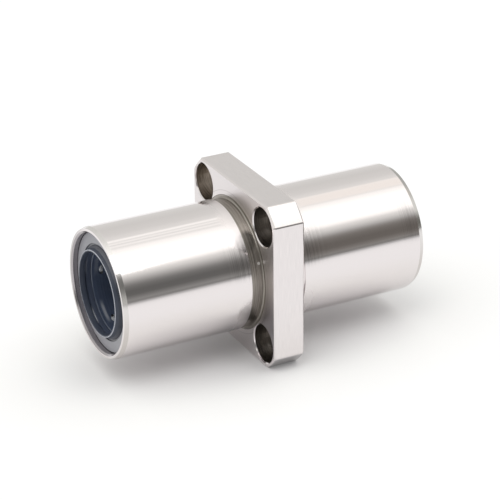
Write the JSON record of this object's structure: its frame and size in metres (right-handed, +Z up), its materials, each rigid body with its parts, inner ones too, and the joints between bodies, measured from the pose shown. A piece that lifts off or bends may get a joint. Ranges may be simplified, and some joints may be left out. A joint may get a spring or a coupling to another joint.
{
  "type": "flanged linear bearing",
  "caption": "Long linear ball bearing for a round shaft, a steel sleeve with a square bolt flange at its middle, ball cages inside and a wiper seal at each end.",
  "frame": {"origin": "on the bearing's axis, at the middle of the sleeve and of the flange's thickness", "axes": "+X along the bearing's axis, out of the plain side of the flange; the counterbored side faces -X; +Y and +Z square to the flange's flat sides, +Z up"},
  "size_m": [0.08, 0.042, 0.042],
  "materials": {
    "ground_steel": "satin",
    "spring_steel": "satin",
    "ball_steel": "polished",
    "seal_rubber": "satin",
    "cage_plastic": "gloss"
  },
  "bodies": {
    "root": {"flanged_sleeve": "ground_steel", "cage_spacer": "spring_steel", "end_seal_front": "seal_rubber", "end_seal_rear": "seal_rubber", "retaining_ring_front": "spring_steel", "retaining_ring_rear": "spring_steel", "ball_cage_front": "cage_plastic", "ball_cage_rear": "cage_plastic", "ball_circuit_1_front": "ball_steel", "ball_circuit_2_front": "ball_steel", "ball_circuit_3_front": "ball_steel", "ball_circuit_4_front": "ball_steel", "ball_circuit_5_front": "ball_steel", "ball_circuit_1_rear": "ball_steel", "ball_circuit_2_rear": "ball_steel", "ball_circuit_3_rear": "ball_steel", "ball_circuit_4_rear": "ball_steel", "ball_circuit_5_rear": "ball_steel"}
  },
  "joints": []
}
